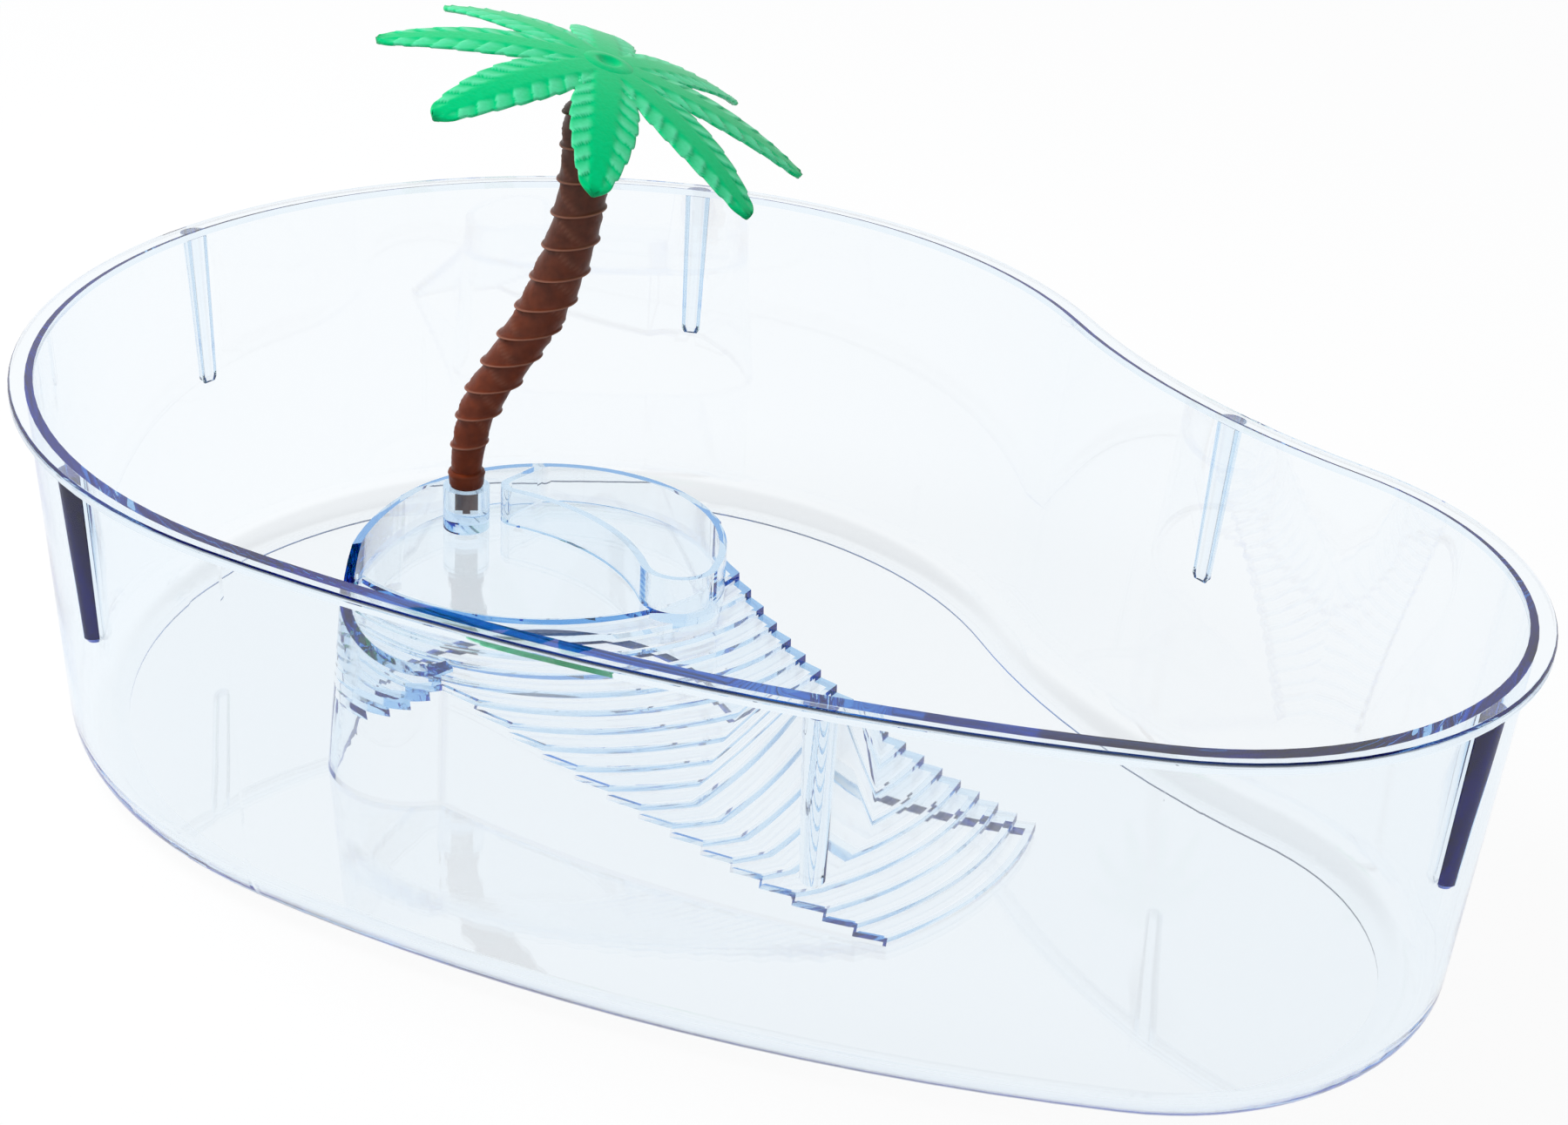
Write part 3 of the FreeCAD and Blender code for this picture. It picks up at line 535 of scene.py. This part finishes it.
def add_frond(mesh, turn):
    """One closed frond: a top, an underside, two edges and two ends."""
    top, under = frond_face(mesh, turn, True), frond_face(mesh, turn, False)
    for row in range(ROWS):
        for lane in range(LANES):
            mesh.faces.new((top[row][lane], top[row + 1][lane],
                            top[row + 1][lane + 1], top[row][lane + 1]))
            mesh.faces.new((under[row][lane], under[row][lane + 1],
                            under[row + 1][lane + 1], under[row + 1][lane]))
        for lane in (0, LANES):
            corners = (top[row][lane], under[row][lane],
                       under[row + 1][lane], top[row + 1][lane])
            mesh.faces.new(corners if lane == 0 else tuple(reversed(corners)))
    for row in (0, ROWS):
        for lane in range(LANES):
            corners = (top[row][lane], top[row][lane + 1],
                       under[row][lane + 1], under[row][lane])
            mesh.faces.new(corners if row == 0 else tuple(reversed(corners)))


def make_crown(material):
    """Eight grooved fronds round a dished hub, in place of the plain moulding."""
    mesh = bmesh.new()
    mesh.verts.layers.float.new("panel")
    for number in range(FRONDS):
        add_frond(mesh, FIRST_FROND + math.tau / FRONDS * number)
    add_turned(mesh, HUB_PROFILE, BODY_TONE)
    leaves = make_object("palm_leaves", mesh, material)
    for face in leaves.data.polygons:
        face.use_smooth = True
    leaves.data.transform(CROWN_PLACE)
    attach(leaves, "root")
    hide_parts("palm_crown")


# Tank

def dress(node, material):
    """Give a CAD node a material in all its slots."""
    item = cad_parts[node]
    if not item.material_slots:
        item.data.materials.append(material)
    for slot in item.material_slots:
        slot.material = material


# Floor, light and camera

FLOOR_HALF, FLOOR_LEVEL = 6.0, -0.0003
FLOOR_WHITE = (0.96, 0.97, 0.985, 1)
# Share of the floor's look that is plain white, with the rest left to light and shadow
FLOOR_GLOW = 0.94

# Heights, by a direction's Z, between which the surroundings dim from white to dark
SKY_WHITE_TO, SKY_DARK_FROM = 0.57, 0.74
SKY_WHITE, SKY_DARK = (1.0, 1.0, 1.0), (0.06, 0.07, 0.1)

KEY_PLACE, KEY_TARGET = Vector((-0.5, -0.3, 0.9)), Vector((0, 0, 0.05))
KEY_SIZE, KEY_WATTS = 0.5, 9.0

CAMERA_PLACE = (0.37458, -0.48985, 0.36580)
AZIMUTH, ELEVATION, ROLL = math.radians(-36.7), math.radians(26.4), math.radians(-3.5)
SENSOR_MM, LENS_MM = 36.0, 63.25
NEAREST = 0.02

# Light runs a long way inside the clear walls before it leaves them
CLEAR_BOUNCES, DIFFUSE_BOUNCES = 256, 5


def white_floor():
    """Pale floor that is seen as white, also through the plastic, and keeps a soft shadow."""
    material, nodes, links, shader = new_material("studio_floor")
    set_inputs(shader, Base_Color=FLOOR_WHITE, Roughness=0.9, Specular_IOR_Level=0.0)
    rays = nodes.new("ShaderNodeLightPath").outputs
    seen = larger(nodes, links, rays["Is Camera Ray"], rays["Is Glossy Ray"])
    through = larger(nodes, links, seen, rays["Is Transmission Ray"])
    share = nodes.new("ShaderNodeMath")
    share.operation = "MULTIPLY"
    share.inputs[1].default_value = FLOOR_GLOW
    links.new(through, share.inputs[0])
    glow = add(nodes, "ShaderNodeEmission", Strength=1.0)
    blend = nodes.new("ShaderNodeMixShader")
    links.new(share.outputs[0], blend.inputs[0])
    links.new(shader.outputs[0], blend.inputs[1])
    links.new(glow.outputs[0], blend.inputs[2])
    links.new(blend.outputs[0], nodes["Material Output"].inputs["Surface"])
    return material


def make_floor():
    """Wide floor, a little below the tank's foot."""
    mesh = bpy.data.meshes.new("floor")
    corners = [(-1, -1), (1, -1), (1, 1), (-1, 1)]
    mesh.from_pydata([(x * FLOOR_HALF, y * FLOOR_HALF, FLOOR_LEVEL) for x, y in corners],
                     [], [(0, 1, 2, 3)])
    floor = bpy.data.objects.new("floor", mesh)
    bpy.context.scene.collection.objects.link(floor)
    mesh.materials.append(white_floor())


def make_world():
    """White surroundings, dimmer overhead, so that the edges of clear walls stand out."""
    world = bpy.data.worlds.new("studio")
    bpy.context.scene.world = world
    world.use_nodes = True
    nodes, links = world.node_tree.nodes, world.node_tree.links
    background = nodes["Background"]
    sky = ramp(nodes, links, axis_z(nodes, links, "Generated"),
               (SKY_WHITE_TO, SKY_WHITE), (SKY_DARK_FROM, SKY_DARK))
    links.new(sky, background.inputs["Color"])
    set_inputs(background, Strength=1.0)


def make_key():
    """Soft square lamp that isn't seen in or through the plastic."""
    data = bpy.data.lights.new("key", "AREA")
    data.shape = "RECTANGLE"
    data.size = data.size_y = KEY_SIZE
    data.energy = KEY_WATTS
    lamp = bpy.data.objects.new("key", data)
    lamp.location = KEY_PLACE
    lamp.visible_transmission = False
    lamp.visible_glossy = False
    lamp.rotation_euler = (KEY_TARGET - KEY_PLACE).to_track_quat("-Z", "Y").to_euler()
    bpy.context.scene.collection.objects.link(lamp)


def make_camera():
    """Camera at the photograph's place, with its azimuth, elevation and slight roll."""
    forward = Vector((math.sin(AZIMUTH) * math.cos(ELEVATION),
                      math.cos(AZIMUTH) * math.cos(ELEVATION), -math.sin(ELEVATION)))
    right = Vector((math.cos(AZIMUTH), -math.sin(AZIMUTH), 0))
    down = forward.cross(right)
    across = right * math.cos(ROLL) + down * math.sin(ROLL)
    below = down * math.cos(ROLL) - right * math.sin(ROLL)
    data = bpy.data.cameras.new("camera")
    data.sensor_fit = "HORIZONTAL"
    data.sensor_width = SENSOR_MM
    data.lens = LENS_MM
    data.clip_start = NEAREST
    camera = bpy.data.objects.new("camera", data)
    bpy.context.scene.collection.objects.link(camera)
    camera.matrix_world = Matrix.Translation(CAMERA_PLACE) @ Matrix((
        across, -below, -forward)).transposed().to_4x4()
    bpy.context.scene.camera = camera


dress("tank", clear_plastic())
make_trunk(brown_plastic())
make_crown(green_plastic())
make_floor()
make_world()
make_key()
make_camera()
scene = bpy.context.scene
scene.view_settings.view_transform = "Standard"
scene.cycles.max_bounces = CLEAR_BOUNCES
scene.cycles.glossy_bounces = CLEAR_BOUNCES
scene.cycles.transmission_bounces = CLEAR_BOUNCES
scene.cycles.diffuse_bounces = DIFFUSE_BOUNCES
